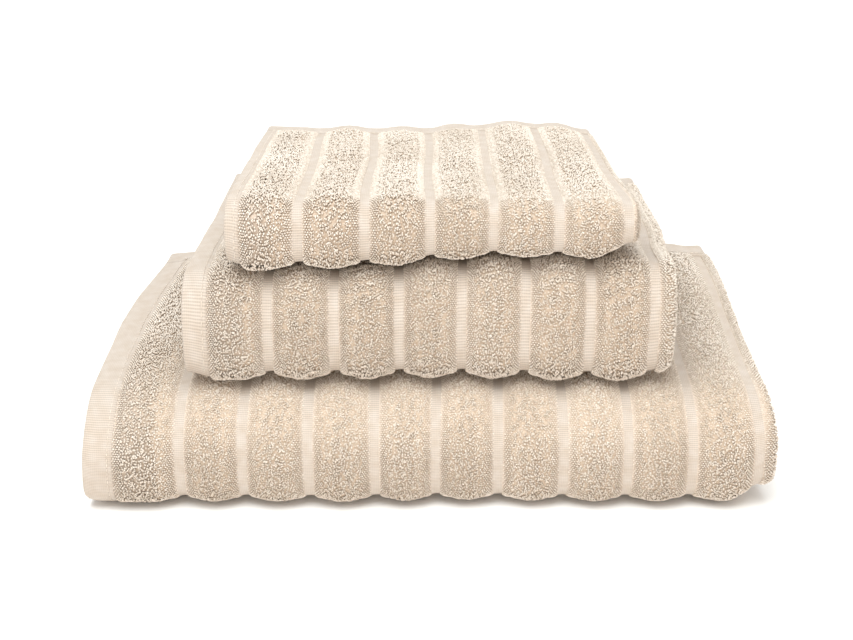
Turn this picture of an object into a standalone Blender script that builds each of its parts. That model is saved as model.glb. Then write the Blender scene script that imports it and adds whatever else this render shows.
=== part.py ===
"""A bath towel set: three terry towels, folded and laid in a stack.

Each towel is one sheet of cloth. It is folded once across its width, which puts its two side
hems together on the left and a fold on the right, and then several times along its length,
so that one thick rounded fold faces the front. Units are metres, with +Z up and the front of
the stack at -Y.
"""

import math
from dataclasses import dataclass

import bmesh
import bpy


@dataclass
class Towel:
    """One towel: its cut size, how it is folded, and how thick it lies once folded."""

    name: str
    cut_width: float
    cut_length: float
    layers: int  # how many times the doubled cloth lies over itself
    set_back: float  # its front fold, behind the front of the stack
    side_hem: float
    end_hem: float
    thickness: tuple  # of the folded towel, at each of THICKNESS_AT


# The towels, from the bottom of the stack up.
TOWELS = (
    Towel("bath_towel", 0.700, 1.300, 6, 0.000, 0.0140, 0.015, (0.053, 0.071, 0.083)),
    Towel("hand_towel", 0.500, 0.800, 4, 0.022, 0.0120, 0.015, (0.064, 0.050, 0.043)),
    Towel("guest_towel", 0.410, 0.580, 3, 0.027, 0.0065, 0.015, (0.0385, 0.0345, 0.0295)),
)
THICKNESS_AT = (0.0, 0.1, 0.2)  # distances behind the front of the stack

# The cloth, before its own weight presses it.
PLY = 0.0052  # terry with its loops on both faces
PLY_GAP = 0.0007  # air between one ply and the next
HEM_PLY = 0.0030  # flat-woven hem, turned under
THREAD = 0.0006
SEWING_GAP = 0.0003  # on each side of a sewing thread
REST_GAP = 0.0004  # between one towel and the next
TUCK = 0.004  # a free end inside a fold stops this far from the fold

BLUNT = 2.4  # exponent of the front fold's outline: 2 is round, and more is squarer
FRONT_STEPS = 8
BACK_STEPS = 6
SIDE_STEPS = 5
RUN_STEPS = 4  # stretches in each straight run

DOUBLED = 2 * PLY + PLY_GAP  # one layer: the cloth folded once across its width
LAYER_PITCH = DOUBLED + PLY_GAP
PLY_MIDDLE = (PLY + PLY_GAP) / 2  # from the middle of a layer to the middle of a ply
SEAM = THREAD + 2 * SEWING_GAP


# The way the strip runs, seen from the side.


def visiting_order(layers):
    """The layers, counted from the bottom, in the order in which the strip runs through them."""
    low, high = 0, layers - 1
    order = []
    from_top = True
    while low <= high:
        order += [high, low] if from_top else [low, high]
        low += 1
        high -= 1
        from_top = not from_top
    return order[:layers]


def layer_height(layer):
    return DOUBLED / 2 + layer * LAYER_PITCH


def turn(centre_y, start_z, end_z, facing, up, blunt, steps):
    """Stations round a half turn. facing is -1 for a turn at the front and 1 at the back.

    up says which way the strip's outer ply faces where the turn starts.
    """
    middle = (start_z + end_z) / 2
    radius = (start_z - end_z) / 2
    outside = math.copysign(up, up * radius)
    power = 2 / blunt
    stations = []
    for step in range(1, steps):
        angle = math.pi * step / steps
        out, along = math.sin(angle), math.cos(angle)
        y = facing * abs(radius) * out**power
        z = radius * math.copysign(abs(along) ** power, along)
        normal_y = outside * facing * out ** (2 - power)
        normal_z = outside * math.copysign(abs(along) ** (2 - power), along * radius)
        size = math.hypot(normal_y, normal_z)
        stations.append((centre_y + y, middle + z, normal_y / size, normal_z / size))
    return stations


def strip_stations(towel):
    """Stations (y, z, normal y, normal z) along the middle of the doubled strip, unpressed.

    It starts at the end hem on top, at the back. The panels between folds are equally long,
    so those that go round less of the front fold reach further back.
    """
    order = visiting_order(towel.layers)
    heights = [layer_height(layer) for layer in order]
    radii = [abs(a - b) / 2 for a, b in zip(heights, heights[1:])]
    fold_y = radii[0] + DOUBLED / 2
    reach = [math.pi * (radii[0] - radii[i - i % 2]) / 2 for i in range(len(radii) + len(radii) % 2)]
    reach += [reach[-1]] * (towel.layers - len(reach))
    for i in range(1, towel.layers - 1, 2):
        reach[i] = reach[i + 1] = (reach[i] + reach[i + 1]) / 2
    tucked = TUCK if towel.layers % 2 else 0.0
    turned = sum(math.pi * radius for radius in radii)
    run = (towel.cut_length - turned - sum(reach) + tucked) / towel.layers

    stations = []
    for i, height in enumerate(heights):
        last = i == towel.layers - 1
        back, front = fold_y + run + reach[i], fold_y + (tucked if last else 0.0)
        start, end = (back, front) if i % 2 == 0 else (front, back)
        up = 1 if i % 2 == 0 else -1
        for step in range(RUN_STEPS + 1):
            stations.append((start + (end - start) * step / RUN_STEPS, height, 0.0, up))
        if last:
            break
        facing = -1 if i % 2 == 0 else 1
        outermost = i == 0 or radii[i] > LAYER_PITCH
        blunt = BLUNT if outermost and facing < 0 else 2
        steps = FRONT_STEPS if facing < 0 else BACK_STEPS
        stations += turn(end, height, heights[i + 1], facing, up, blunt, steps)
    return stations


def part_of(stations, start, end):
    """The stations between two distances along the strip, with one at each distance."""
    found = []
    travelled = 0.0
    for a, b in zip(stations, stations[1:]):
        step = math.hypot(b[0] - a[0], b[1] - a[1])
        for at in (start, end):
            if travelled <= at < travelled + step:
                share = (at - travelled) / step
                found.append(tuple(p + (q - p) * share for p, q in zip(a, b)))
        travelled += step
        if start < travelled < end:
            found.append(b)
    if end >= travelled:
        found.append(stations[-1])
    return found


def strip_length(stations):
    return sum(math.hypot(b[0] - a[0], b[1] - a[1]) for a, b in zip(stations, stations[1:]))


# How the stack presses the strip.


def thickness_at(towel, y):
    """The quadratic through the towel's three thicknesses."""
    total = 0.0
    for i, here in enumerate(THICKNESS_AT):
        share = towel.thickness[i]
        for other in THICKNESS_AT:
            if other != here:
                share *= (y - other) / (here - other)
        total += share
    return total


def underside(towel, y):
    below = TOWELS[: TOWELS.index(towel)]
    return sum(thickness_at(lower, y) + REST_GAP for lower in below)


def pressed(towel, x, station, offset):
    """A point of the folded towel: offset is from the middle of the doubled strip."""
    y = station[0] + offset * station[2] + towel.set_back
    z = station[1] + offset * station[3]
    unpressed = towel.layers * LAYER_PITCH - PLY_GAP
    return (x, y, underside(towel, y) + z / unpressed * thickness_at(towel, y))


# The outlines that run along the strip, as (x, offset) loops.


def folded_width(towel):
    return (towel.cut_width - math.pi * PLY_MIDDLE) / 2 + DOUBLED / 2


def left_edge(towel):
    return -folded_width(towel) / 2


def fold_line(towel):
    """Where the side fold's half turn begins."""
    return folded_width(towel) / 2 - DOUBLED / 2


def half_turn(x, radius):
    angles = [math.pi * (0.5 - step / SIDE_STEPS) for step in range(SIDE_STEPS + 1)]
    return [(x + radius * math.cos(a), radius * math.sin(a)) for a in angles]


def doubled_outline(towel, left, thickness):
    """Both plies and the fold that joins them on the right."""
    outer = half_turn(fold_line(towel), PLY_MIDDLE + thickness / 2)
    inner = half_turn(fold_line(towel), PLY_MIDDLE - thickness / 2)
    outer = [(left, outer[0][1])] + outer + [(left, outer[-1][1])]
    inner = [(left, inner[0][1])] + inner + [(left, inner[-1][1])]
    return outer + inner[::-1]


def ply_outline(left, right, middle, thickness):
    low, high = middle - thickness / 2, middle + thickness / 2
    return [(left, low), (right, low), (right, high), (left, high)]


# Objects.


def plain_material(name, colour, roughness):
    material = bpy.data.materials.new(name)
    material.use_nodes = True
    shader = material.node_tree.nodes["Principled BSDF"]
    shader.inputs["Base Color"].default_value = (*colour, 1.0)
    shader.inputs["Roughness"].default_value = roughness
    shader.inputs["Metallic"].default_value = 0.0
    return material


def place(name, data, parent, material, collection):
    data.materials.append(material)
    item = bpy.data.objects.new(name, data)
    item.parent = parent
    collection.objects.link(item)
    return item


def swept_mesh(name, towel, outline, stations):
    """A closed outline carried along the stations: a flat grid rolled up, joined and capped."""
    around = len(outline)
    mesh = bpy.data.meshes.new(name)
    shape = bmesh.new()
    bmesh.ops.create_grid(shape, x_segments=around, y_segments=len(stations) - 1, size=1.0)
    for index, vert in enumerate(shape.verts):
        x, offset = outline[index % (around + 1) % around]
        vert.co = pressed(towel, x, stations[index // (around + 1)], offset)
    bmesh.ops.remove_doubles(shape, verts=shape.verts, dist=1e-6)
    rims = [edge for edge in shape.edges if edge.is_boundary]
    bmesh.ops.holes_fill(shape, edges=rims, sides=around)
    bmesh.ops.recalc_face_normals(shape, faces=shape.faces)
    if shape.calc_volume(signed=True) < 0:
        bmesh.ops.reverse_faces(shape, faces=shape.faces)
    shape.to_mesh(mesh)
    shape.free()
    return mesh


def thread_curve(name, points):
    curve = bpy.data.curves.new(name, "CURVE")
    curve.dimensions = "3D"
    curve.bevel_depth = THREAD / 2
    curve.bevel_resolution = 1
    curve.use_fill_caps = True
    line = curve.splines.new("POLY")
    line.points.add(len(points) - 1)
    for point, spot in zip(line.points, points):
        point.co = (*spot, 1.0)
    return curve


def add_towel(towel, stack, collection):
    """The cloth, four hems and the thread of each hem's seam."""
    body = bpy.data.objects.new(towel.name, None)
    body.parent = stack
    collection.objects.link(body)
    terry = plain_material(f"{towel.name}_terry", (0.62, 0.47, 0.34), 0.95)
    woven = plain_material(f"{towel.name}_flat_weave", (0.80, 0.70, 0.58), 0.85)
    cotton = plain_material(f"{towel.name}_thread", (0.84, 0.76, 0.65), 0.7)

    stations = strip_stations(towel)
    length = strip_length(stations)
    sewn = towel.end_hem + SEAM
    between = part_of(stations, sewn, length - sewn)
    left = left_edge(towel)
    cloth_left = left + towel.side_hem + SEAM

    outline = doubled_outline(towel, cloth_left, PLY)
    cloth = swept_mesh(f"{towel.name}_cloth", towel, outline, between)
    place(f"{towel.name}_cloth", cloth, body, terry, collection)

    for label, middle in (("outer", PLY_MIDDLE), ("inner", -PLY_MIDDLE)):
        name = f"{towel.name}_{label}_side_hem"
        band = ply_outline(left, left + towel.side_hem, middle, HEM_PLY)
        place(name, swept_mesh(name, towel, band, between), body, woven, collection)
        seam = left + towel.side_hem + SEAM / 2
        line = [pressed(towel, seam, station, middle) for station in between]
        name = f"{towel.name}_{label}_side_stitching"
        place(name, thread_curve(name, line), body, cotton, collection)

    ends = (("outer", 0.0, towel.end_hem), ("inner", length - towel.end_hem, length))
    for label, start, end in ends:
        name = f"{towel.name}_{label}_end_hem"
        band = doubled_outline(towel, left, HEM_PLY)
        hem = swept_mesh(name, towel, band, part_of(stations, start, end))
        place(name, hem, body, woven, collection)
        seam = end + SEAM / 2 if label == "outer" else start - SEAM / 2
        station = part_of(stations, seam, seam + SEAM)[0]
        across = half_turn(fold_line(towel), PLY_MIDDLE)
        across = [(left, PLY_MIDDLE)] + across + [(left, -PLY_MIDDLE)]
        line = [pressed(towel, x, station, offset) for x, offset in across]
        name = f"{towel.name}_{label}_end_stitching"
        place(name, thread_curve(name, line), body, cotton, collection)


def centre_on_origin(stack):
    """Stands the stack on z = 0, with the middle of its depth over the origin."""
    bpy.context.view_layer.update()
    depth = []
    for item in stack.children_recursive:
        if item.type != "EMPTY":
            depth += [(item.matrix_world @ corner)[1] for corner in corners(item)]
    stack.location.y = -(min(depth) + max(depth)) / 2


def corners(item):
    evaluated = item.evaluated_get(bpy.context.evaluated_depsgraph_get())
    mesh = evaluated.to_mesh()
    found = [vert.co.copy() for vert in mesh.vertices]
    evaluated.to_mesh_clear()
    return found


def main():
    for item in list(bpy.data.objects):
        bpy.data.objects.remove(item)
    collection = bpy.data.collections.new("bath_towel_set")
    bpy.context.scene.collection.children.link(collection)
    stack = bpy.data.objects.new("towel_stack", None)
    collection.objects.link(stack)
    for towel in TOWELS:
        add_towel(towel, stack, collection)
    centre_on_origin(stack)


main()
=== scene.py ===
# %% [markdown]
# # A stack of three ribbed terry towels
#
# A bath towel, a hand towel and a guest towel, each folded into a soft brick and laid one on
# the other. Each is one sheet of cotton cloth. Broad bands of looped pile run down its length,
# with narrow flat-woven stripes between them and a turned and stitched hem round the edge.
#
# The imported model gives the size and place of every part, and each piece below stands in for
# one of its plain solids. The lesson shows how to work on a cloth while it is still flat, where
# everything is simple, and then to fold the finished work all at once with one function.

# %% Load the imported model
import math

import bpy
import numpy as np
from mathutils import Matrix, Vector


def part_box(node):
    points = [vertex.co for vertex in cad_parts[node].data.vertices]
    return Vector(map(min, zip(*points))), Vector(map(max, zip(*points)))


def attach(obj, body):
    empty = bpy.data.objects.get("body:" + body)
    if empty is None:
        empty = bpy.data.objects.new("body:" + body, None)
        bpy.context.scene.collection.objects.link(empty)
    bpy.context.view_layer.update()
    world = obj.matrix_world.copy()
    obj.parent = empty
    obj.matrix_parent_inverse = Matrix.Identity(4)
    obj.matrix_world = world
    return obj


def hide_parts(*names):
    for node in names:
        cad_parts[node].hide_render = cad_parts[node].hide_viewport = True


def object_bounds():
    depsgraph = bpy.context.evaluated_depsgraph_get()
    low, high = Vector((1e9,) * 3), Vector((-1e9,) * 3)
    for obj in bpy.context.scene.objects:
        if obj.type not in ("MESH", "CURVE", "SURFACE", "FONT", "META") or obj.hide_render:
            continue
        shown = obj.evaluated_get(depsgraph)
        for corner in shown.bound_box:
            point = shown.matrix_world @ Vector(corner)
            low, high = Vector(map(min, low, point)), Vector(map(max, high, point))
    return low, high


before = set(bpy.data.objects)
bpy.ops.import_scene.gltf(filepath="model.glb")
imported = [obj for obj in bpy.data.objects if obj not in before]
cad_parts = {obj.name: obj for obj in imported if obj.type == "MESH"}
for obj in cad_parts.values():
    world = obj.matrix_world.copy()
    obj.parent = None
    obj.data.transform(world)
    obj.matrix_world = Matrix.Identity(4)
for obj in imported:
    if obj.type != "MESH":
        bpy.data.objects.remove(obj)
cad_low, cad_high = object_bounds()
MM = 0.001
print("CAD box in mm:", [round(1000 * v, 1) for v in cad_high - cad_low])

# %% [markdown]
# ## The stage
#
# The towels stand on a pale floor, lit as in a small product studio: one very large soft lamp
# overhead and a little in front, a weaker and warmer one low in front that opens the shadows,
# and a strong one far behind that turns the floor there white. Large lamps suit cloth, because
# their soft edges follow the roundness of a fold, while a small lamp would pick out every loop.
# A plane is enough for the floor, since only its top is seen.

# %% Floor, lamps and camera
FLOOR_SIZE = 12.0
FLOOR_CLEAR = 0.2 * MM  # below the lowest loop
AIR_STRENGTH = 0.78  # of the light from all round


def deselect():
    bpy.ops.object.select_all(action="DESELECT")


def linear(hex_colour):
    """A shader's colour from an sRGB hex value such as "F4E9DA"."""
    shares = [int(hex_colour[i : i + 2], 16) / 255 for i in (0, 2, 4)]
    return [s / 12.92 if s <= 0.04045 else ((s + 0.055) / 1.055) ** 2.4 for s in shares] + [1.0]


def add_lamp(name, place, target, size, watts, colour):
    bpy.ops.object.light_add(type="AREA", location=place)
    lamp = bpy.context.object
    lamp.name = name
    lamp.data.shape = "DISK"
    lamp.data.size = size
    lamp.data.energy = watts
    lamp.data.color = linear(colour)[:3]
    aim = np.array(target) - np.array(place)
    lamp.rotation_euler = (math.acos(-aim[2] / np.linalg.norm(aim)), 0, math.atan2(-aim[0], aim[1]))


deselect()
bpy.ops.mesh.primitive_plane_add(size=FLOOR_SIZE, location=(0, 0, -FLOOR_CLEAR))
floor = bpy.context.object
floor.name = "studio_floor"

add_lamp("overhead_softbox", (-0.17, -0.55, 1.45), (0, 0, 0.1), 1.3, 23.5, "F7FCFC")
add_lamp("front_fill", (0.2, -1.7, 0.22), (0, 0, 0.05), 0.6, 7.8, "FFEBD6")
add_lamp("sweep_light", (0, 3.4, 1.8), (0, 3.6, 0), 2.5, 80.0, "FFFFFF")

world = bpy.data.worlds.new("studio_air")
bpy.context.scene.world = world
world.use_nodes = True
world.node_tree.nodes["Background"].inputs["Color"].default_value = linear("FCFAF7")
world.node_tree.nodes["Background"].inputs["Strength"].default_value = AIR_STRENGTH
bpy.context.scene.view_settings.view_transform = "Standard"

CAMERA_PLACE = (-0.0028, -0.690, 0.314)
CAMERA_PITCH = 20.1  # degrees below level
CAMERA_LENS = 53.0
deselect()
bpy.ops.object.camera_add(location=CAMERA_PLACE, rotation=(math.radians(90 - CAMERA_PITCH), 0, 0))
camera = bpy.context.object
camera.name = "studio_camera"
camera.data.lens = CAMERA_LENS
bpy.context.scene.camera = camera
print("camera is", round(math.dist(CAMERA_PLACE, (0, 0, 0.08)), 3), "m from the towels")

# %% [markdown]
# ## Materials
#
# Each finish is a small tree of nodes, so one short function adds a node, sets it and links it.
# Cotton scatters light in all directions and shines only from its fine fuzz, so every cotton
# material here is a rough Principled shader with a little sheen and hardly any specular.

# %% A helper that adds one node
def add_node(material, kind, settings=None, links=None, **inputs):
    """A node of this kind: settings are its own, inputs its sockets, links socket -> output."""
    tree = material.node_tree
    node = tree.nodes.new(kind)
    for name, value in (settings or {}).items():
        setattr(node, name, value)
    for name, value in inputs.items():
        node.inputs[name.replace("_", " ")].default_value = value
    for name, output in (links or {}).items():
        tree.links.new(output, node.inputs[name])
    return node


def new_cotton(name, roughness, sheen, specular):
    """A material with a Principled shader set up for cotton, and that shader."""
    material = bpy.data.materials.new(name)
    material.use_nodes = True
    shader = material.node_tree.nodes["Principled BSDF"]
    shader.inputs["Roughness"].default_value = roughness
    shader.inputs["Sheen Weight"].default_value = sheen
    shader.inputs["Sheen Roughness"].default_value = 0.5
    shader.inputs["Sheen Tint"].default_value = linear("FFF3E2")
    shader.inputs["Specular IOR Level"].default_value = specular
    shader.inputs["IOR"].default_value = 1.53
    return material, shader


def set_stops(ramp, stops):
    """Fills a colour ramp from (place, hex colour) pairs."""
    elements = ramp.color_ramp.elements
    while len(elements) < len(stops):
        elements.new(0.5)
    for element, (place, colour) in zip(elements, stops):
        element.position = place
        element.color = linear(colour)


# %% [markdown]
# ### Painted board: the floor
#
# The sweep is matt white card. A very faint mottling keeps it from looking computed.

# %% Floor material
card, card_shader = new_cotton("matt_white_card", 0.9, 0.0, 0.2)
place = add_node(card, "ShaderNodeTexCoord").outputs["Object"]
mottle = add_node(card, "ShaderNodeTexNoise", links={"Vector": place}, Scale=3.0, Detail=3.0)
tint = add_node(card, "ShaderNodeValToRGB", links={"Fac": mottle.outputs["Fac"]})
set_stops(tint, [(0.3, "FCFCFB"), (0.7, "FFFFFF")])
card.node_tree.links.new(tint.outputs["Color"], card_shader.inputs["Base Color"])
floor.data.materials.append(card)

# %% [markdown]
# ### Terry pile
#
# The loops are soft two-ply cotton yarn. Their tops catch the light and look ivory. Light that
# goes down between them comes back warmer and darker, as it has bounced from yarn to yarn, so
# the colour is graded from foot to top. Dye and lint make each loop a little different. The
# loops carry both facts in their own map: how light the yarn is across, and height upwards.

# %% Pile material
PILE_MAP = "OFBake"  # each loop's tone across, and its height from foot to top upwards

pile_yarn, shader = new_cotton("terry_loop_yarn", 0.95, 0.25, 0.15)
pile_place = add_node(pile_yarn, "ShaderNodeUVMap", settings={"uv_map": PILE_MAP})
axes = add_node(pile_yarn, "ShaderNodeSeparateXYZ", links={"Vector": pile_place.outputs["UV"]})
by_height = add_node(pile_yarn, "ShaderNodeValToRGB", links={"Fac": axes.outputs["Y"]})
set_stops(by_height, [(0.0, "BDAA9A"), (0.45, "DBD1C6"), (0.8, "ECE4DB"), (1.0, "F3ECE4")])
by_tone = add_node(pile_yarn, "ShaderNodeValToRGB", links={"Fac": axes.outputs["X"]})
set_stops(by_tone, [(0.0, "DAD3CB"), (0.5, "F2EEEA"), (1.0, "FFFFFF")])
yarn_colour = add_node(
    pile_yarn, "ShaderNodeMix", settings={"data_type": "RGBA", "blend_type": "MULTIPLY"}
)
yarn_colour.inputs[0].default_value = 1.0
pile_yarn.node_tree.links.new(by_height.outputs["Color"], yarn_colour.inputs[6])
pile_yarn.node_tree.links.new(by_tone.outputs["Color"], yarn_colour.inputs[7])
pile_yarn.node_tree.links.new(yarn_colour.outputs[2], shader.inputs["Base Color"])

# %% [markdown]
# ### The ground cloth under the loops
#
# Between the loops the eye meets a plain woven ground, mostly in shade, and that shade is
# painted into its colour: darker and warmer than the loops, and darkest in the middle of a band,
# where the pile over it is full. It is lightly speckled, so that the gaps in the pile are never
# flat. Its map is the flat cloth itself, in metres from one corner, so that a pattern follows
# every fold.

# %% Ground material
CLOTH_MAP = "flat_cloth"  # metres across and along the cut cloth
PILE_SHARE = "pile_share"  # 0 at the edge of a band of pile and 1 in its middle

shaded_ground_weave, shader = new_cotton("terry_ground_weave", 0.95, 0.2, 0.1)
flat_place = add_node(shaded_ground_weave, "ShaderNodeUVMap", settings={"uv_map": CLOTH_MAP})
speckle = add_node(
    shaded_ground_weave, "ShaderNodeTexNoise", links={"Vector": flat_place.outputs["UV"]},
    Scale=900.0, Detail=2.0, Roughness=0.6,
)
# Painted shade: the ground is coloured darker and warmer than the loops, for the shade between them.
shade = add_node(shaded_ground_weave, "ShaderNodeValToRGB", links={"Fac": speckle.outputs["Fac"]})
set_stops(shade, [(0.35, "B4A08D"), (0.65, "CFBFAE")])
# Painted shade again: lighter at the edge of a band, where few loops stand over the ground, and full in
# its middle.
full = add_node(shaded_ground_weave, "ShaderNodeAttribute", settings={"attribute_name": PILE_SHARE})
from_edge = add_node(
    shaded_ground_weave, "ShaderNodeMix", settings={"data_type": "RGBA"}, links={0: full.outputs["Fac"]}
)
from_edge.inputs[6].default_value = linear("CDBFB2")
shaded_ground_weave.node_tree.links.new(shade.outputs["Color"], from_edge.inputs[7])
shaded_ground_weave.node_tree.links.new(from_edge.outputs[2], shader.inputs["Base Color"])
crumbs = add_node(
    shaded_ground_weave, "ShaderNodeBump", links={"Height": speckle.outputs["Fac"]},
    Strength=0.6, Distance=0.5 * MM,
)
shaded_ground_weave.node_tree.links.new(crumbs.outputs["Normal"], shader.inputs["Normal"])

# %% [markdown]
# ### Flat weave: the stripes and the hems
#
# Where there are no loops the cloth is a close plain weave, smooth and ivory, with fine threads
# that run across it. They are finer than a millimetre on the real cloth, which would only
# shimmer here, so they are drawn about a millimetre apart, as bump and as a faint darker line.
# Two waves at right angles make the weave, and a slow noise keeps the threads from being even.

# %% Flat weave material
THREAD_PITCH = 1.1 * MM

flat_weave, shader = new_cotton("flat_woven_cotton", 0.85, 0.15, 0.2)
flat_place = add_node(flat_weave, "ShaderNodeUVMap", settings={"uv_map": CLOTH_MAP}).outputs["UV"]
# A wave texture repeats every 2 pi / 20 of its scaled length.
waves_per_metre = 2 * math.pi / 20 / THREAD_PITCH
weft = add_node(
    flat_weave, "ShaderNodeTexWave", settings={"bands_direction": "Y"},
    links={"Vector": flat_place}, Scale=waves_per_metre, Distortion=0.6, Detail=1.0,
)
weft.inputs["Detail Scale"].default_value = 0.8
warp = add_node(
    flat_weave, "ShaderNodeTexWave", settings={"bands_direction": "X"},
    links={"Vector": flat_place}, Scale=waves_per_metre * 1.2, Distortion=0.4, Detail=1.0,
)
weave = add_node(
    flat_weave, "ShaderNodeMath", settings={"operation": "MULTIPLY_ADD"},
    links={0: warp.outputs["Fac"], 2: weft.outputs["Fac"]},
)
weave.inputs[1].default_value = 0.35
unevenness = add_node(
    flat_weave, "ShaderNodeTexNoise", links={"Vector": flat_place}, Scale=160.0, Detail=3.0
)
cream = add_node(flat_weave, "ShaderNodeValToRGB", links={"Fac": weave.outputs[0]})
set_stops(cream, [(0.0, "B0A69E"), (0.6, "C1B7AD"), (1.0, "CCC2B9")])
wash = add_node(flat_weave, "ShaderNodeValToRGB", links={"Fac": unevenness.outputs["Fac"]})
set_stops(wash, [(0.3, "F3EEE8"), (0.7, "FFFFFF")])
washed = add_node(
    flat_weave, "ShaderNodeMix", settings={"data_type": "RGBA", "blend_type": "MULTIPLY"}
)
washed.inputs[0].default_value = 1.0
flat_weave.node_tree.links.new(cream.outputs["Color"], washed.inputs[6])
flat_weave.node_tree.links.new(wash.outputs["Color"], washed.inputs[7])
flat_weave.node_tree.links.new(washed.outputs[2], shader.inputs["Base Color"])
ridges = add_node(
    flat_weave, "ShaderNodeBump", links={"Height": weave.outputs[0]},
    Strength=0.35, Distance=0.25 * MM,
)
flat_weave.node_tree.links.new(ridges.outputs["Normal"], shader.inputs["Normal"])

# %% [markdown]
# ### Sewing thread
#
# The hems are closed with a smooth, tightly twisted cotton thread. It matches the cloth, is a
# little less rough, and its twist shows only as a slight mottling.

# %% Thread material
sewing_thread, shader = new_cotton("twisted_sewing_thread", 0.6, 0.1, 0.3)
thread_place = add_node(sewing_thread, "ShaderNodeTexCoord").outputs["Object"]
twist = add_node(
    sewing_thread, "ShaderNodeTexNoise", links={"Vector": thread_place}, Scale=1200.0, Detail=1.0
)
thread_tint = add_node(sewing_thread, "ShaderNodeValToRGB", links={"Fac": twist.outputs["Fac"]})
set_stops(thread_tint, [(0.35, "CBBFB2"), (0.65, "DBD1C5")])
sewing_thread.node_tree.links.new(thread_tint.outputs["Color"], shader.inputs["Base Color"])
print("materials:", [m.name for m in (pile_yarn, shaded_ground_weave, flat_weave, sewing_thread)])

# %% [markdown]
# ## How a towel is folded
#
# Every towel is folded once across its width, which puts both side hems together on the left
# and a soft fold on the right, and then several times along its length. The outermost turn
# faces the front and is the thick rounded edge that is seen.
#
# A folded towel has many plies, and a cloth simulation of all of them, pressed together, takes
# far too long. Instead, the fold is a function: it takes a place on the flat cloth, across and
# along, and a height above it, and gives the place in the folded stack. Anything made flat,
# such as a ground cloth, a loop or a stitch, can then be folded exactly, and pieces that clear
# each other when flat still do so when folded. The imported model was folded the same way.

# %% The towels' own numbers
class Towel:
    """What sets one towel apart: its cut, its folds and how thick it lies."""

    def __init__(self, name, cut, layers, set_back, side_hem, first_stripe, thickness):
        self.name = name
        self.cut_width, self.cut_length = cut
        self.layers = layers
        self.set_back = set_back  # its front fold, behind the front of the stack
        self.side_hem = side_hem
        self.first_stripe = first_stripe  # the middle of it, from the left edge
        self.thickness = thickness  # of the folded towel, at each of THICKNESS_AT


TOWELS = (
    Towel("bath_towel", (0.700, 1.300), 6, 0.0, 14.0 * MM, 46.8 * MM, (0.053, 0.071, 0.083)),
    Towel("hand_towel", (0.500, 0.800), 4, 22 * MM, 12.0 * MM, 43.2 * MM, (0.064, 0.050, 0.043)),
    Towel("guest_towel", (0.410, 0.580), 3, 27 * MM, 6.5 * MM, 35.6 * MM, (0.0385, 0.0345, 0.0295)),
)
THICKNESS_AT = (0.0, 0.1, 0.2)  # metres behind the front of the stack
END_HEM = 15 * MM
SEAM = 1.2 * MM  # the slot between hem and pile, where the thread lies
PLY = 5.2 * MM  # terry with its loops on both faces
PLY_GAP = 0.7 * MM
REST_GAP = 0.4 * MM  # between one towel and the next
TUCK = 4.0 * MM
BLUNT = 2.15  # exponent of the front fold's outline: 2 is round, and more is squarer
BLUNT_BELOW = 4.6  # and of its lower half, where it settles on what is under it
DOUBLED = 2 * PLY + PLY_GAP
LAYER_PITCH = DOUBLED + PLY_GAP
PLY_MIDDLE = (PLY + PLY_GAP) / 2
STACK_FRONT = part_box("bath_towel_cloth")[0].y

# %% The route of the doubled cloth, seen from the side
TURN_STEPS = 32


def visiting_order(layers):
    """The layers, from the bottom, in the order in which the cloth runs through them."""
    low, high = 0, layers - 1
    order = []
    from_top = True
    while low <= high:
        order += [high, low] if from_top else [low, high]
        low += 1
        high -= 1
        from_top = not from_top
    return order[:layers]


def plan_route(towel):
    """Sets towel.route: distance, y, z, normal y and normal z along the middle of the strip.

    It starts at the end hem on top, at the back. Also sets where each turn starts and ends.
    """
    heights = [DOUBLED / 2 + layer * LAYER_PITCH for layer in visiting_order(towel.layers)]
    radii = [abs(a - b) / 2 for a, b in zip(heights, heights[1:])]
    fold_y = radii[0] + DOUBLED / 2
    panels = range(len(radii) + len(radii) % 2)
    reach = [math.pi * (radii[0] - radii[i - i % 2]) / 2 for i in panels]
    reach += [reach[-1]] * (towel.layers - len(reach))
    for i in range(1, towel.layers - 1, 2):
        reach[i] = reach[i + 1] = (reach[i] + reach[i + 1]) / 2
    tucked = TUCK if towel.layers % 2 else 0.0
    turned = math.pi * sum(radii)
    run = (towel.cut_length - turned - sum(reach) + tucked) / towel.layers

    stations = []
    towel.turns = []  # (first station, last station, -1 at the front and 1 at the back, radius)
    for i, height in enumerate(heights):
        last = i == towel.layers - 1
        back, front = fold_y + run + reach[i], fold_y + (tucked if last else 0.0)
        start, end = (back, front) if i % 2 == 0 else (front, back)
        up = 1 if i % 2 == 0 else -1
        stations += [(start, height, 0.0, up), (end, height, 0.0, up)]
        if last:
            break
        facing = -1 if i % 2 == 0 else 1
        blunted = facing < 0 and (i == 0 or radii[i] > LAYER_PITCH)
        radius = (height - heights[i + 1]) / 2
        outside = math.copysign(up, up * radius)
        towel.turns.append((len(stations) - 1, len(stations) - 1 + TURN_STEPS, facing, abs(radius)))
        for step in range(1, TURN_STEPS):
            angle = math.pi * step / TURN_STEPS
            out, over = math.sin(angle), math.cos(angle)
            power = 2 / (BLUNT if over * radius > 0 else BLUNT_BELOW) if blunted else 1.0
            normal_y = outside * facing * out ** (2 - power)
            normal_z = outside * math.copysign(abs(over) ** (2 - power), over * radius)
            size = math.hypot(normal_y, normal_z)
            y = end + facing * abs(radius) * out**power
            z = (height + heights[i + 1]) / 2 + radius * math.copysign(abs(over) ** power, over)
            stations.append((y, z, normal_y / size, normal_z / size))
    points = np.array(stations)
    steps = np.hypot(*(points[1:, :2] - points[:-1, :2]).T)
    distance = np.concatenate([[0.0], np.cumsum(steps)])
    towel.route = np.column_stack([distance * towel.cut_length / distance[-1], points])
    towel.turns = [(towel.route[a, 0], towel.route[b, 0], f, r) for a, b, f, r in towel.turns]


for towel in TOWELS:
    plan_route(towel)
    places = [(round(a, 3), round(b, 3), "front" if f < 0 else "back") for a, b, f, r in towel.turns]
    print(towel.name, "turns at", places)

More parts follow.
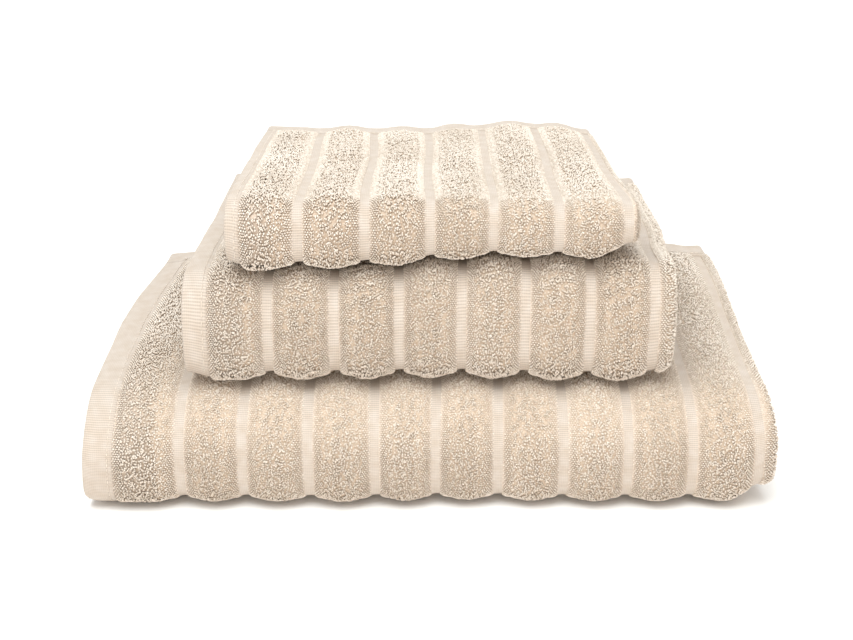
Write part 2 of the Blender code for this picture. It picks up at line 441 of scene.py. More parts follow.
# %% How the stack's weight shapes the fold
def thickness_at(towel, y):
    """The quadratic through the towel's three thicknesses."""
    total = 0.0
    for here, share in zip(THICKNESS_AT, towel.thickness):
        for other in THICKNESS_AT:
            if other != here:
                share = share * (y - other) / (here - other)
        total = total + share
    return total


def smooth_step(value):
    """0 below 0, 1 above 1, and an even S between."""
    value = np.clip(value, 0.0, 1.0)
    return value * value * (3 - 2 * value)


def rise(value, start, over):
    """0 up to start, then an even S that reaches 1 after over."""
    return smooth_step((value - start) / over)


def drift(across, along, wave, seed):
    """A smooth value about -1 to 1 that changes over about this many metres."""
    random = np.random.default_rng(seed)
    total = 0.0
    for _ in range(6):
        heading, start = random.uniform(0, 2 * math.pi, 2)
        reach = wave * random.uniform(0.75, 1.5)
        turn = 2 * math.pi / reach
        total = total + np.sin(turn * (across * math.cos(heading) + along * math.sin(heading)) + start)
    return total / 2.4


# %% [markdown]
# ## The bands of pile and the stripes
#
# The stripes are the same distance apart on all three towels. On the flat cloth it is enough to
# know how far a place is from the nearest edge of its band: the pile is full in the middle and
# falls away at the stripes. The stripes have no loops and are woven tighter, so on an outside
# fold they pull the cloth in and the bands swell between them, which gives the soft scallops.

# %% Where a place lies in its band
BAND_PITCH = 32.7 * MM
STRIPE = 4.4 * MM
LAST_STRIPE_CLEAR = 8.0 * MM  # no stripe nearer than this to the far hem
SINK = 1.6 * MM  # how far a stripe pulls the outermost ply in
INNER_SINK = 0.7 * MM  # and any other ply
SINK_SPREAD = 13.5 * MM  # from the stripe's edge to where the band stands full
SWELL = 1.3 * MM  # how far a band stands out round the front fold
LUMP = 0.9 * MM  # how uneven the top of the towel is
LUMP_SIZE = 38 * MM


def lay_out_bands(towel):
    """Sets the stripes' middles, and the edges of the bands of pile, from the left edge."""
    towel.pile_left = towel.side_hem + 0.3 * MM
    towel.pile_right = towel.cut_width - towel.pile_left
    last = towel.pile_right - LAST_STRIPE_CLEAR
    towel.stripes = np.arange(towel.first_stripe, last, BAND_PITCH)
    edges = [towel.pile_left]
    for middle in towel.stripes:
        edges += [middle - STRIPE / 2, middle + STRIPE / 2]
    towel.band_edges = np.array(edges + [towel.pile_right])


def into_band(towel, across):
    """The distance to the nearest edge of a band, positive inside it and negative in a stripe."""
    index = np.searchsorted(towel.band_edges, across)
    before = towel.band_edges[np.clip(index - 1, 0, None)]
    after = towel.band_edges[np.clip(index, None, len(towel.band_edges) - 1)]
    nearest = np.minimum(np.abs(across - before), np.abs(after - across))
    return np.where(index % 2 == 1, nearest, -nearest)


def sink(towel, across, along):
    """How far the middle of the cloth is pulled in by the nearest stripe."""
    to_stripe = np.abs(across[..., None] - towel.stripes).min(axis=-1) - STRIPE / 2
    pulled = 1 - smooth_step(to_stripe / SINK_SPREAD)
    outer_ply = 1 - smooth_step((across - towel.flat) / (math.pi * PLY_MIDDLE))
    first, last = towel.turns[0][:2]
    front = (along - first) / (last - first)  # 0 to 1 round the front fold, from its top
    outermost = 1 - smooth_step((front - 0.7) / 0.3)
    round_front = np.sin(math.pi * np.clip(front, 0.0, 1.0))
    above_front = 1 - smooth_step(front)
    lump = LUMP * (0.5 + 0.5 * drift(across, along, LUMP_SIZE, 21)) * above_front
    swell = (SWELL * round_front + lump) * (1 - pulled) * outer_ply
    return pulled * (INNER_SINK + (SINK - INNER_SINK) * outermost * outer_ply) - swell


for towel in TOWELS:
    lay_out_bands(towel)
    towel.folded_width = (towel.cut_width - math.pi * PLY_MIDDLE) / 2 + DOUBLED / 2
    towel.left = -towel.folded_width / 2
    towel.flat = towel.folded_width - DOUBLED / 2  # across, where the fold on the right begins
    print(towel.name, len(towel.stripes), "stripes, folded width", round(towel.folded_width, 4))

# %% The fold itself
def fold(towel, across, along, lift):
    """Places in the folded stack, from places on the flat cloth and heights above its middle."""
    lift = lift - sink(towel, across, along)
    over = across - towel.flat
    angle = np.clip(over / PLY_MIDDLE, 0.0, math.pi)
    x = towel.left + np.minimum(across, towel.flat) + (PLY_MIDDLE + lift) * np.sin(angle)
    x = x - np.maximum(0.0, over - math.pi * PLY_MIDDLE)

    distance = towel.route[:, 0]
    y, z, normal_y, normal_z = (np.interp(along, distance, towel.route[:, i]) for i in (1, 2, 3, 4))
    size = np.hypot(normal_y, normal_z)
    normal_y, normal_z = normal_y / size, normal_z / size
    y = y + (PLY_MIDDLE + lift) * np.cos(angle) * normal_y + towel.set_back
    press = thickness_at(towel, y) / (towel.layers * LAYER_PITCH - PLY_GAP)
    z = (z + PLY_MIDDLE * np.cos(angle) * normal_z) * press
    z = z + lift * np.cos(angle) * normal_z * np.minimum(press, 1.0)
    z = z + towel.bottom(y)
    x = x + SLIP * drift(along, 0 * along, 0.4, 7 + TOWELS.index(towel))
    return laid_by_hand(towel, x, y, z)


# %% [markdown]
# ### What hands do to a fold
#
# A stack laid by hand is never quite even. These movements are smooth and small: the plies have
# slipped a little sideways over each other, the whole stack rolls gently, and where a doubled
# edge gives less support, the underside of a front fold lifts and its corner rounds.

# %% Slips, rolls and lifted corners
SLIP = 0.8 * MM  # sideways, of one ply over the next
ROLL = 0.9 * MM  # up and down, at the top of the stack
WAVER = 1.0 * MM  # sideways, of everything at one place
WAVER_SIZE = 110 * MM
PLUMP = 7.5 * MM  # how much thicker the hand towel's front is on the right, under the guest towel
BACK_SHIFT = 9 * MM  # to the right, of the bath towel's back left corner
BACK_DROP = 5 * MM  # downwards, of the same corner
LOW_LEFT_SHIFT = 2.5 * MM  # outwards, of the bath towel's lowest plies on the left
FREE_CORNER_LIFT = 4 * MM  # of the bath towel's back right corner
HAND_SHIFT = 5 * MM  # to the right, of the hand towel's top on the right, behind its front
GUEST_SHIFT = 2 * MM  # to the right, of the guest towel's front right
GUEST_RIGHT_BUMP = 3.5 * MM  # at the back of the guest towel's top
GUEST_LEFT_BUMP = 1.5 * MM


# Each: the side, how far it lifts, where it starts from the edge, over what width, how deep.
LIFTS = {
    "bath_towel": [(1, 9 * MM, 24 * MM, 24 * MM, 50 * MM), (-1, 1.5 * MM, 6 * MM, 6 * MM, 30 * MM)],
    "hand_towel": [(1, 4 * MM, 14 * MM, 14 * MM, 40 * MM), (-1, 4 * MM, 14 * MM, 14 * MM, 40 * MM)],
    "guest_towel": [
        (1, 8 * MM, 24 * MM, 24 * MM, 40 * MM),
        (-1, 5 * MM, 12 * MM, 12 * MM, 40 * MM),
    ],
}


def lifted(towel, x, y, z, amount, from_x, over_x, depth):
    """z with the underside of the front fold raised by amount, growing from from_x over over_x."""
    fold_bottom, fold_top = towel.bottom(y), towel.bottom(y) + thickness_at(towel, y)
    low_share = np.clip((fold_top - z) / (fold_top - fold_bottom), 0.0, 1.0)
    sideways = smooth_step((x - from_x) / over_x)
    forwards = 1 - smooth_step((y - towel.set_back - 0.3 * depth) / depth)
    return z + amount * low_share * sideways * forwards


def laid_by_hand(towel, x, y, z):
    """The small unevenness of a real stack, as one smooth movement of the space it is in."""
    right, left = towel.left + towel.folded_width, towel.left
    fold_top, fold_bottom = towel.bottom(y) + thickness_at(towel, y), towel.bottom(y)
    if towel.name != "bath_towel":
        near_front = 1 - rise(y, 40 * MM, 55 * MM)
        plump = PLUMP * rise(x, -45 * MM, 95 * MM) * near_front
        share = (z - fold_bottom) / (fold_top - fold_bottom)
        z = z + plump * (share if towel.name == "hand_towel" else 1 - share)
    for side, amount, start, width, depth in LIFTS[towel.name]:
        edge = right - start if side > 0 else left + start
        z = lifted(towel, x, y, z, amount, edge, side * width, depth)
    if towel.name == "bath_towel":
        back = smooth_step((y - 90 * MM) / (110 * MM)) * smooth_step(z / (60 * MM))
        to_left = smooth_step((-x - 60 * MM) / (110 * MM))
        x = x + BACK_SHIFT * back * to_left
        z = z - BACK_DROP * back * smooth_step((-x - 135 * MM) / (40 * MM))
        low_left = smooth_step((-x - 145 * MM) / (30 * MM)) * (1 - smooth_step(z / (50 * MM)))
        x = x - LOW_LEFT_SHIFT * low_left
        free_corner = smooth_step((x - 115 * MM) / (45 * MM)) * smooth_step((y - 110 * MM) / (80 * MM))
        z = z + FREE_CORNER_LIFT * free_corner * z / (80 * MM)
    if towel.name == "hand_towel":
        high = smooth_step((z - towel.bottom(y)) / (35 * MM))
        x = x + HAND_SHIFT * high * smooth_step(x / (120 * MM)) * smooth_step((y - 50 * MM) / (70 * MM))
    if towel.name == "guest_towel":
        high = smooth_step((z - towel.bottom(y)) / (30 * MM)) * smooth_step((y - 90 * MM) / (60 * MM))
        z = z + GUEST_RIGHT_BUMP * high * np.exp(-(((x - 55 * MM) / (30 * MM)) ** 2))
        z = z + GUEST_LEFT_BUMP * high * np.exp(-(((x + 60 * MM) / (30 * MM)) ** 2))
        near_front = 1 - rise(y, 50 * MM, 60 * MM)
        x = x + GUEST_SHIFT * rise(x, 80 * MM, 20 * MM) * near_front
    moved = x + WAVER * drift(x, y, WAVER_SIZE, 5)
    y = y + WAVER * drift(x, y, WAVER_SIZE, 6)
    x = moved
    z = z + ROLL * (z / cad_high.z) * drift(x, y, 0.16, 3)
    if towel.name == "bath_towel":
        z = np.maximum(z, 0.0)
    return np.column_stack([x, y + STACK_FRONT, z])


def bottom_of(towel):
    """A function of y: how high the towel's underside lies."""
    lowers = TOWELS[: TOWELS.index(towel)]
    return lambda y: sum(thickness_at(lower, y) + REST_GAP for lower in lowers) + 0 * y


for towel in TOWELS:
    towel.bottom = bottom_of(towel)

# %% [markdown]
# ## The ground cloth
#
# Each towel's ground is one grid, laid out flat at the cut size, with more columns at the edges
# of the stripes and in the fold on the right, and more rows in the turns. It is folded, and
# Solidify gives it a thickness that a vertex group thins at the stripes. The loops come later:
# the ground only has to reach a little above their feet.

# %% Rows and columns
BAND_HALF = 1.20 * MM  # half the thickness of the ground, with the dense lower part of the pile
STRIPE_HALF = 0.6 * MM
BAND_RISE = 2.6 * MM  # from a band's edge to where the ground is full
PILE_EDGE = 3.0 * MM  # from a band's edge to where its colour is full
COLUMN_STEPS = np.array([2.4, 3.3, 4.7, 7.2, 11.2]) * MM  # from a stripe's middle, on both sides
ROW_STEP = 12 * MM
FOLD_STEP = 1.3 * MM
LEAST_STEP = 0.9 * MM  # no two columns or rows are nearer than this
UNDER_HEM = 0.8 * MM  # how far the ground reaches under a hem


def column_places(towel, left, right):
    places = [left, right, left + 1.5 * MM, right - 1.5 * MM]
    for middle in towel.stripes:
        places += [middle, middle + BAND_PITCH / 2]
        places += list(middle + COLUMN_STEPS) + list(middle - COLUMN_STEPS)
    turn = math.pi * PLY_MIDDLE
    count = round(turn / FOLD_STEP)
    places += [towel.flat + turn * i / count for i in range(-1, count + 2)]
    return thinned(places, left, right, LEAST_STEP)


def row_places(towel, start, end):
    places = [start, end]
    distance = 0.0
    for first, last, facing, radius in towel.turns:
        places += list(np.arange(distance + ROW_STEP / 2, first - ROW_STEP / 3, ROW_STEP))
        steps = 24 if radius > 2 * LAYER_PITCH else 16 if radius > LAYER_PITCH else 12
        places += list(np.linspace(first, last, steps + 1))
        distance = last
    places += list(np.arange(distance + ROW_STEP / 2, end - ROW_STEP / 3, ROW_STEP))
    return thinned(places, start, end, LEAST_STEP)


def thinned(places, first, last, least):
    """These places in order, from first to last, without any nearer than least to the one before."""
    kept = [first]
    for place in sorted(places):
        if place - kept[-1] >= least and last - place >= least:
            kept.append(place)
    return np.array(kept + [last])


# %% A flat grid, folded and given its thickness
def woven_strip(towel, name, columns, rows, half_thickness, middle=0.0):
    """A piece of the cloth between these columns and rows, folded, with a map of the flat cloth.

    half_thickness gives half the thickness at places across and along.
    """
    deselect()
    bpy.ops.mesh.primitive_grid_add(
        x_subdivisions=len(columns) - 1, y_subdivisions=len(rows) - 1, size=1.0
    )
    strip = bpy.context.object
    strip.name = strip.data.name = name
    mesh = strip.data
    corners = np.empty(len(mesh.vertices) * 3)
    mesh.vertices.foreach_get("co", corners)
    corners = corners.reshape(-1, 3) + 0.5
    column = np.rint(corners[:, 0] * (len(columns) - 1)).astype(int)
    row = np.rint(corners[:, 1] * (len(rows) - 1)).astype(int)
    across, along = columns[column], rows[row]
    mesh.vertices.foreach_set("co", fold(towel, across, along, np.full(len(across), middle)).ravel())

    of_corner = np.empty(len(mesh.loops), int)
    mesh.loops.foreach_get("vertex_index", of_corner)
    flat = np.column_stack([across[of_corner], along[of_corner]])
    mesh.uv_layers[0].name = CLOTH_MAP
    mesh.uv_layers[0].data.foreach_set("uv", flat.ravel())
    bake = mesh.uv_layers.new(name=PILE_MAP)
    bake.data.foreach_set("uv", (flat / (towel.cut_width, towel.cut_length)).ravel())

    # How much painted shade the ground gets: none at a band's edge and full in its middle.
    share = mesh.attributes.new(PILE_SHARE, "FLOAT", "POINT")
    share.data.foreach_set("value", smooth_step(into_band(towel, across) / PILE_EDGE))
    half = half_thickness(across, along)
    most = half.max()
    group = strip.vertex_groups.new(name="thickness")
    for weight in np.unique(np.round(half / most, 3)):
        members = np.flatnonzero(np.round(half / most, 3) == weight)
        group.add(members.tolist(), float(weight), "REPLACE")
    thicken = strip.modifiers.new("thicken", "SOLIDIFY")
    thicken.thickness = 2 * most
    thicken.offset = 0.0
    thicken.vertex_group = group.name
    thicken.thickness_vertex_group = 0.0
    bpy.ops.object.modifier_apply(modifier=thicken.name)
    bpy.ops.object.shade_smooth()
    return strip


def band_half(towel, across):
    """Half the ground's thickness: full in a band, thin in a stripe."""
    rise = smooth_step(into_band(towel, across) / BAND_RISE + 0.15)
    return STRIPE_HALF + (BAND_HALF - STRIPE_HALF) * rise


def in_stripe(towel, mesh):
    """Which faces of a folded cloth lie in a stripe, from the map of the flat cloth."""
    flat = np.empty(len(mesh.loops) * 2)
    mesh.uv_layers[CLOTH_MAP].data.foreach_get("uv", flat)
    starts = np.empty(len(mesh.polygons), int)
    mesh.polygons.foreach_get("loop_start", starts)
    across = np.add.reduceat(flat[0::2], starts) / np.diff(np.append(starts, len(mesh.loops)))
    return into_band(towel, across) < 0


for towel in TOWELS:
    start = END_HEM + SEAM - UNDER_HEM
    columns = column_places(towel, towel.pile_left - UNDER_HEM, towel.pile_right + UNDER_HEM)
    rows = row_places(towel, start, towel.cut_length - start)
    cloth = woven_strip(
        towel, f"{towel.name}_ground", columns, rows, lambda a, b, t=towel: band_half(t, a)
    )
    cloth.data.materials.append(shaded_ground_weave)
    cloth.data.materials.append(flat_weave)
    cloth.data.polygons.foreach_set("material_index", in_stripe(towel, cloth.data).astype(int))
    towel.cloth = cloth
    towel.pieces = []
    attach(cloth, towel.name)
    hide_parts(f"{towel.name}_cloth")
    print(cloth.name, len(columns), "x", len(rows), "grid,", len(cloth.data.polygons), "faces")

# %% [markdown]
# ## The pile
#
# Terry is a forest of small yarn loops. A bump map would look flat at the edges of the folds,
# so the loops are real: one loop is modelled, a short three-sided length of yarn whose two
# ends dip into the ground, and it is copied by the thousand over the flat cloth before folding.
# It has only twelve faces, as each is hardly a millimetre long.
#
# Beside a stripe the weaver's warp holds the loops in neat staggered rows. In the middle of a band,
# where nothing presses them, washing has turned them every way and drawn them into small
# clumps with dark gaps between. The copies follow that: order at the edges, drift inside.

# %% One loop of yarn
YARN = 0.94 * MM
LOOP_TOP = 0.66 * MM  # the straight length at the top
LOOP_SPREAD = 0.30 * MM  # how far each foot reaches past it
LOOP_DEPTH = 1.4 * MM  # from the middle of the yarn at the top to the feet

deselect()
bpy.ops.mesh.primitive_cylinder_add(
    vertices=3, radius=YARN / 2, depth=LOOP_TOP, end_fill_type="TRIFAN",
    rotation=(0, math.radians(-90), 0),
)
loop = bpy.context.object
loop.name = "one_loop"
bpy.ops.object.transform_apply(location=False, rotation=True, scale=False)
loop.rotation_euler.x = math.radians(90)  # an edge upwards, which smooth shading makes round
bpy.ops.object.transform_apply(location=False, rotation=True, scale=False)
bpy.ops.object.mode_set(mode="EDIT")
bpy.ops.mesh.select_all(action="SELECT")
bpy.ops.mesh.quads_convert_to_tris()
bpy.ops.object.mode_set(mode="OBJECT")
loop_points = np.array([v.co[:] for v in loop.data.vertices])
feet = np.hypot(loop_points[:, 1], loop_points[:, 2]) < YARN / 8
loop_points[feet, 0] += np.sign(loop_points[feet, 0]) * LOOP_SPREAD
loop_points[feet, 2] -= LOOP_DEPTH
loop_faces = np.array([p.vertices[:] for p in loop.data.polygons])
bpy.data.objects.remove(loop)
LOOP_LOW, LOOP_HIGH = loop_points[:, 2].min(), loop_points[:, 2].max()
print("one loop:", len(loop_points), "points,", len(loop_faces), "faces")

# %% Where the loops stand
LOOP_ACROSS = 1.22 * MM
LOOP_ALONG = 1.12 * MM
HIDDEN_STEP = 1.6  # loops where the stack hides them stand this much further apart
SIDE_STEP = 1.2  # and those behind the front fold, on the right
BACK_STEP = 1.25  # and those at the back turns
PAST_TURN = 4 * MM  # how far the loops go on past a turn
BEFORE_BACK = 6 * MM  # and before the first back turn
PILE_RISE = 0.72 * MM  # the middle of the yarn at a loop's top, above the ground
CLUMPING = 0.48 * MM  # how far loops are drawn together
CLUMP_SIZE = 4.6 * MM
TONE_MIDDLE = 0.45  # on the map from dark to light
TONE_SPREAD = 0.20  # from one loop to the next
TONE_DRIFT = 0.10  # from one part of the towel to another
TONE_EDGE = 0.12  # how much darker the loops beside a stripe are
PIECE_LOOPS = 16000  # a piece has 12 faces for each, and stays under 200,000


def measure_folded(towel):
    """Sets how far each place along the flat cloth lies from its end once it is folded.

    The press squeezes and stretches the cloth a little, and the loops are spaced evenly on it
    as it lies.
    """
    towel.flat_along = np.linspace(0, towel.cut_length, 6001)
    towel.folded_along, towel.stretch = [], []  # of the outer ply and of the inner ply
    for across in (towel.flat / 2, towel.cut_width - towel.flat / 2):
        middle = np.full(len(towel.flat_along), across)
        points = fold(towel, middle, towel.flat_along, 0 * middle + BAND_HALF)
        steps = np.linalg.norm(np.diff(points[:, 1:], axis=0), axis=1)
        towel.folded_along.append(np.concatenate([[0.0], np.cumsum(steps)]))
        towel.stretch.append(np.gradient(towel.folded_along[-1], towel.flat_along))
    print(towel.name, "stretch at most", [s.max().round(2) for s in towel.stretch])


for towel in TOWELS:
    measure_folded(towel)


def scatter(towel, left, right, start, end, spread, seed):
    """Places of loops between these edges of the flat cloth, in the bands only."""
    columns = np.arange(left, right, LOOP_ACROSS * spread)
    folded_along = towel.folded_along[int(left > towel.flat + math.pi * PLY_MIDDLE)]
    first, last = np.interp([start, end], towel.flat_along, folded_along)
    rows = np.arange(first, last, LOOP_ALONG * spread)
    rows = np.interp(rows, folded_along, towel.flat_along)
    across, along = np.meshgrid(columns, rows)
    across[1::2] += LOOP_ACROSS * spread / 2
    across, along = across.ravel(), along.ravel()
    random = np.random.default_rng(seed)
    inside = into_band(towel, across)
    loose = smooth_step((inside - 2.0 * MM) / (4.5 * MM))
    across = across + loose * (
        0.30 * LOOP_ACROSS * random.uniform(-1, 1, len(across))
        + CLUMPING * drift(across, along, CLUMP_SIZE, seed + 1)
    )
    along = along + loose * (
        0.30 * LOOP_ALONG * random.uniform(-1, 1, len(along))
        + CLUMPING * drift(across, along, CLUMP_SIZE, seed + 2)
    )
    kept = into_band(towel, across) > 0.2 * MM
    return across[kept], along[kept]


def visible_zones(towel):
    """Rectangles of the flat cloth (left, right, start, end, spread) that are given loops.

    These are the outside from the front, the tops and the sides, and a strip at each back turn.
    Between the layers the ground stays bare, and at the back a little of it shows.
    """
    fold_end = towel.flat + math.pi * PLY_MIDDLE
    front, back = towel.turns[0], towel.turns[1]
    top_end = towel.cut_length - END_HEM - SEAM
    above = TOWELS[TOWELS.index(towel) + 1 :]
    side_start, side_end = towel.flat - 1.0 * MM, fold_end + 1.5 * MM
    zones = []
    first = END_HEM + SEAM
    if above:
        covered_left = above[0].left - towel.left + 8 * MM
        covered_right = above[0].left + above[0].folded_width - towel.left - 10 * MM
        hidden_to = front[0] - (above[0].set_back - towel.set_back) + 6 * MM
        zones.append((covered_left, covered_right, first, hidden_to, HIDDEN_STEP))
        zones.append((towel.pile_left, covered_left, first, hidden_to, 1.0))
        zones.append((covered_right, side_start, first, hidden_to, 1.0))
        zones.append((towel.pile_left, side_start, hidden_to, front[1] + PAST_TURN, 1.0))
    else:
        zones.append((towel.pile_left, side_start, first, front[1] + PAST_TURN, 1.0))
    zones.append((side_start, side_end, first, front[1] + PAST_TURN, 1.0))
    zones.append((side_start, side_end, front[1] + PAST_TURN, top_end, SIDE_STEP))
    zones.append((towel.pile_left, side_start, back[0] - BEFORE_BACK, back[1] + PAST_TURN, BACK_STEP))
    for turn in towel.turns[3::2]:
        start, end = turn[0] - PAST_TURN, turn[1] + PAST_TURN
        zones.append((side_end, towel.pile_right, start, end, BACK_STEP))
    return zones


def pile_of(towel, name, across, along, seed):
    """One piece: a copy of the loop at each place, turned and leaned, folded with the towel."""
    random = np.random.default_rng(seed)
    count = len(across)
    inside = into_band(towel, across)
    loose = smooth_step((inside - 1.5 * MM) / (5.0 * MM))
    swirl = drift(across, along, 6.5 * MM, 91)
    turned = loose * (math.pi / 2 + 1.6 * swirl + random.uniform(-0.9, 0.9, count))
    turned = turned + (1 - loose) * random.uniform(-0.25, 0.25, count)
    lean = loose * random.uniform(-0.35, 0.35, count)
    size = random.uniform(0.88, 1.12, count)
    edge = smooth_step(inside / (2.5 * MM))
    top = band_half(towel, across) + PILE_RISE * (0.35 + 0.65 * edge)
    top = top + loose * 0.15 * MM * drift(across, along, 5.0 * MM, 47)
    top = top + 0.06 * MM * random.uniform(-1, 1, count)

    long, wide, tall = (loop_points * size[:, None, None]).transpose(2, 0, 1)
    wide = wide + lean[:, None] * (tall - LOOP_LOW)
    cosine, sine = np.cos(turned)[:, None], np.sin(turned)[:, None]
    spots_across = (across[:, None] + long * cosine - wide * sine).ravel()
    outer, inner = (np.interp(along, towel.flat_along, s) for s in towel.stretch)
    stretch = np.where(across > towel.flat + math.pi * PLY_MIDDLE, inner, outer)[:, None]
    spots_along = (along[:, None] + (long * sine + wide * cosine) / stretch).ravel()
    points = fold(towel, spots_across, spots_along, (top[:, None] + tall).ravel())

    faces = (loop_faces + len(loop_points) * np.arange(count)[:, None, None]).reshape(-1, 3)
    mesh = bpy.data.meshes.new(name)
    mesh.from_pydata(points.tolist(), [], faces.tolist())
    tone = TONE_MIDDLE + TONE_SPREAD * random.standard_normal(count)
    tone = tone + TONE_DRIFT * drift(across, along, 60 * MM, 13)
    tone = tone - TONE_EDGE * (1 - smooth_step(inside / PILE_EDGE))
    # A loop gets a little width on the map too, so that none of its faces is a line there.
    tone = np.clip(tone, 0.03, 0.97)[:, None]
    tone = tone + np.sign(loop_points[:, 0]) * 0.01 + np.sign(loop_points[:, 1]) * 0.015
    height = (loop_points[:, 2] - LOOP_LOW) / (LOOP_HIGH - LOOP_LOW)
    height = np.broadcast_to(np.clip(height, 0.02, 0.98), (count, len(loop_points)))
    places = np.column_stack([tone.ravel(), height.ravel()])
    mesh.uv_layers.new(name=PILE_MAP).data.foreach_set("uv", places[faces.ravel()].ravel())
    mesh.shade_smooth()
    mesh.materials.append(pile_yarn)
    piece = bpy.data.objects.new(name, mesh)
    bpy.context.collection.objects.link(piece)
    return piece


all_loops = 0
for number, towel in enumerate(TOWELS):
    found = []
    for index, zone in enumerate(visible_zones(towel)):
        found.append(scatter(towel, *zone, seed=1000 * number + 10 * index))
    across, along = (np.concatenate(a) for a in zip(*found))
    order = np.argsort(across, kind="stable")
    across, along = across[order], along[order]
    pieces = math.ceil(len(across) / PIECE_LOOPS)
    for index, chosen in enumerate(np.array_split(np.arange(len(across)), pieces)):
        name = f"{towel.name}_pile_{index + 1}"
        pile = pile_of(towel, name, across[chosen], along[chosen], seed=500 * number + index)
        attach(pile, towel.name)
        towel.pieces.append(pile)
    all_loops += len(across)
    print(towel.name, len(across), "loops in", pieces, "pieces")
print(all_loops, "loops,", all_loops * len(loop_faces), "faces")

# %% [markdown]
# ## The hems
#
# Along each edge the flat weave is turned under twice and stitched down. A hem is thinner than
# the pile beside it, firm, and rounded where it is creased at the edge of the towel. It is the
# same kind of strip as the ground, with its own thickness across.

# %% Side and end hems
HEM_HALF = 1.35 * MM
HEM_STEPS = np.array([0.0, 0.5, 1.2, 2.4, 4.5])  # mm from the creased edge
CREASE_SHARE = 0.35  # of the thickness, at the edge
CREASE_WIDTH = 1.2 * MM  # from the edge to the full thickness
UNDER_SEAM = 0.6 * MM  # how far a hem reaches past its seam


def hem_places(width):
    """Places across a hem, from its creased edge to the seam."""
    steps = HEM_STEPS * MM
    middle = np.linspace(steps[-1], width - 1.2 * MM, 4)[1:]
    return np.concatenate([steps, middle, [width - 0.5 * MM, width]])


def crease_share(from_edge):
    """The share of the full thickness at this distance from a creased edge."""
    return CREASE_SHARE + (1 - CREASE_SHARE) * np.sqrt(np.clip(from_edge / CREASE_WIDTH, 0, 1))


def hem_half(from_edge, width):
    """Half the hem's thickness at this distance from its creased edge."""
    seam = 1 - 0.35 * smooth_step((from_edge - width + 1.6 * MM) / (1.4 * MM))
    return HEM_HALF * np.minimum(crease_share(from_edge), seam)


def finish_hem(towel, hem, node):
    hem.data.materials.append(flat_weave)
    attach(hem, towel.name)
    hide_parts(node)
    towel.pieces.append(hem)


for towel in TOWELS:
    side = towel.side_hem + UNDER_SEAM
    ends = END_HEM + UNDER_SEAM
    along_side = row_places(towel, ends, towel.cut_length - ends)
    for label in ("outer", "inner"):
        def half(across, along, t=towel, w=side):
            return hem_half(np.minimum(across, t.cut_width - across), w)

        columns = hem_places(side)
        if label == "inner":
            columns = towel.cut_width - columns[::-1]
        name = f"{towel.name}_{label}_side_hem"
        finish_hem(towel, woven_strip(towel, f"{name}_band", columns, along_side, half), name)

        def half(across, along, t=towel, w=ends):
            from_end = np.minimum(along, t.cut_length - along)
            from_side = np.minimum(across, t.cut_width - across)
            return np.minimum(hem_half(from_end, w), HEM_HALF * crease_share(from_side))

        rows = hem_places(ends)
        if label == "inner":
            rows = towel.cut_length - rows[::-1]
        name = f"{towel.name}_{label}_end_hem"
        columns = column_places(towel, 0.0, towel.cut_width)
        finish_hem(towel, woven_strip(towel, f"{name}_band", columns, rows, half), name)
    print(towel.name, "hems:", sum("hem" in p.name for p in towel.pieces))

# %% [markdown]
# ## The stitches
#
# A lockstitch shows as a row of short thread lengths, each dipping into the cloth at both ends.
# One stitch is modelled as a small four-sided bead of thread with drawn-out ends, and copied
# along every hem, a little way in from the seam.

# %% One stitch
STITCH_PITCH = 3.0 * MM
STITCH_LENGTH = 2.5 * MM
THREAD = 0.55 * MM
STITCH_IN = 1.7 * MM  # from the seam
STITCH_STRAIGHT = 0.6  # the share of a stitch between its drawn-out ends
STITCH_DIP = 0.35 * MM  # of each end, into the cloth
STITCH_RISE = 0.12 * MM  # of the thread's middle, above the hem

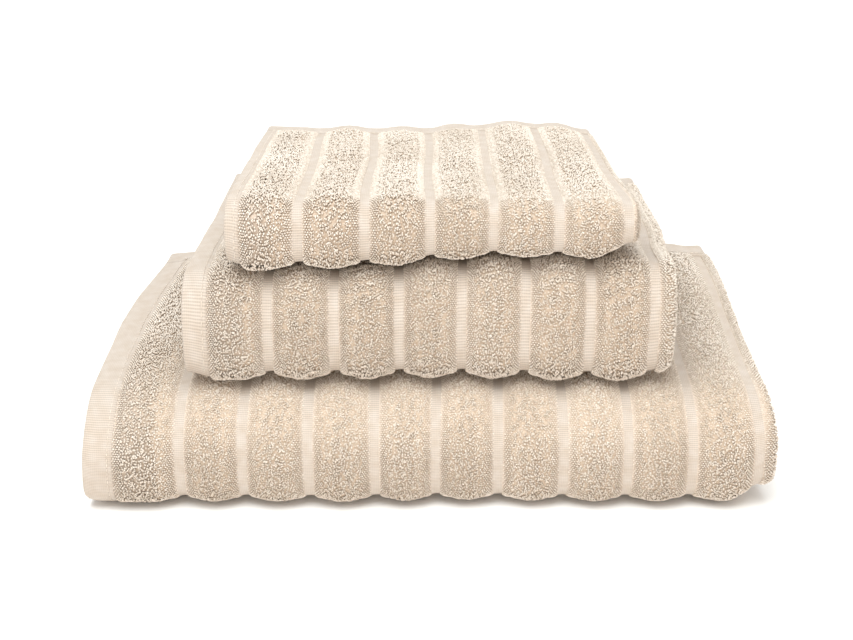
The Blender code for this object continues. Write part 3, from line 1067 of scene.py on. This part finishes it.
deselect()
bpy.ops.mesh.primitive_cylinder_add(
    vertices=4, radius=THREAD / 2, depth=STITCH_LENGTH * STITCH_STRAIGHT, end_fill_type="TRIFAN",
    rotation=(0, math.radians(90), 0),
)
stitch = bpy.context.object
bpy.ops.object.transform_apply(location=False, rotation=True, scale=False)
bpy.ops.object.mode_set(mode="EDIT")
bpy.ops.mesh.select_all(action="SELECT")
bpy.ops.mesh.quads_convert_to_tris()
bpy.ops.object.mode_set(mode="OBJECT")
stitch_points = np.array([v.co[:] for v in stitch.data.vertices])
tips = np.hypot(stitch_points[:, 1], stitch_points[:, 2]) < THREAD / 8
stitch_points[tips, 0] *= 1 / STITCH_STRAIGHT
stitch_points[tips, 2] -= STITCH_DIP
stitch_faces = np.array([p.vertices[:] for p in stitch.data.polygons])
bpy.data.objects.remove(stitch)
print("one stitch:", len(stitch_faces), "faces")


# %% Stitches along every hem
def sew(towel, name, across, along, heading):
    """A row of stitches through these places, each turned to heading from across."""
    long, wide, tall = stitch_points.T
    cosine, sine = math.cos(heading), math.sin(heading)
    spots_across = (across[:, None] + long * cosine - wide * sine).ravel()
    spots_along = (along[:, None] + long * sine + wide * cosine).ravel()
    lift = np.tile(HEM_HALF + STITCH_RISE + tall, len(across))
    points = fold(towel, spots_across, spots_along, lift)
    faces = stitch_faces + len(stitch_points) * np.arange(len(across))[:, None, None]
    mesh = bpy.data.meshes.new(name)
    mesh.from_pydata(points.tolist(), [], faces.reshape(-1, 3).tolist())
    mesh.shade_smooth()
    mesh.materials.append(sewing_thread)
    row = bpy.data.objects.new(name, mesh)
    bpy.context.collection.objects.link(row)
    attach(row, towel.name)
    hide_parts(name.removesuffix("_stitches") + "_stitching")
    towel.pieces.append(row)


for towel in TOWELS:
    in_side = towel.side_hem - STITCH_IN
    in_end = END_HEM - STITCH_IN
    along = np.arange(in_end, towel.cut_length - in_end, STITCH_PITCH)
    across = np.arange(in_side, towel.cut_width - in_side, STITCH_PITCH)
    rows = (
        ("outer_side", np.full(len(along), in_side), along, math.pi / 2),
        ("inner_side", np.full(len(along), towel.cut_width - in_side), along, math.pi / 2),
        ("outer_end", across, np.full(len(across), in_end), 0.0),
        ("inner_end", across, np.full(len(across), towel.cut_length - in_end), 0.0),
    )
    for label, row_across, row_along, heading in rows:
        sew(towel, f"{towel.name}_{label}_stitches", row_across, row_along, heading)
    print(towel.name, 2 * (len(along) + len(across)), "stitches")

# %% [markdown]
# ## Each towel as a sheet of cloth
#
# Each towel's ground cloth is printed with the number of pieces made on it.

for towel in TOWELS:
    print(towel.cloth.name, "with", len(towel.pieces), "pieces on it")
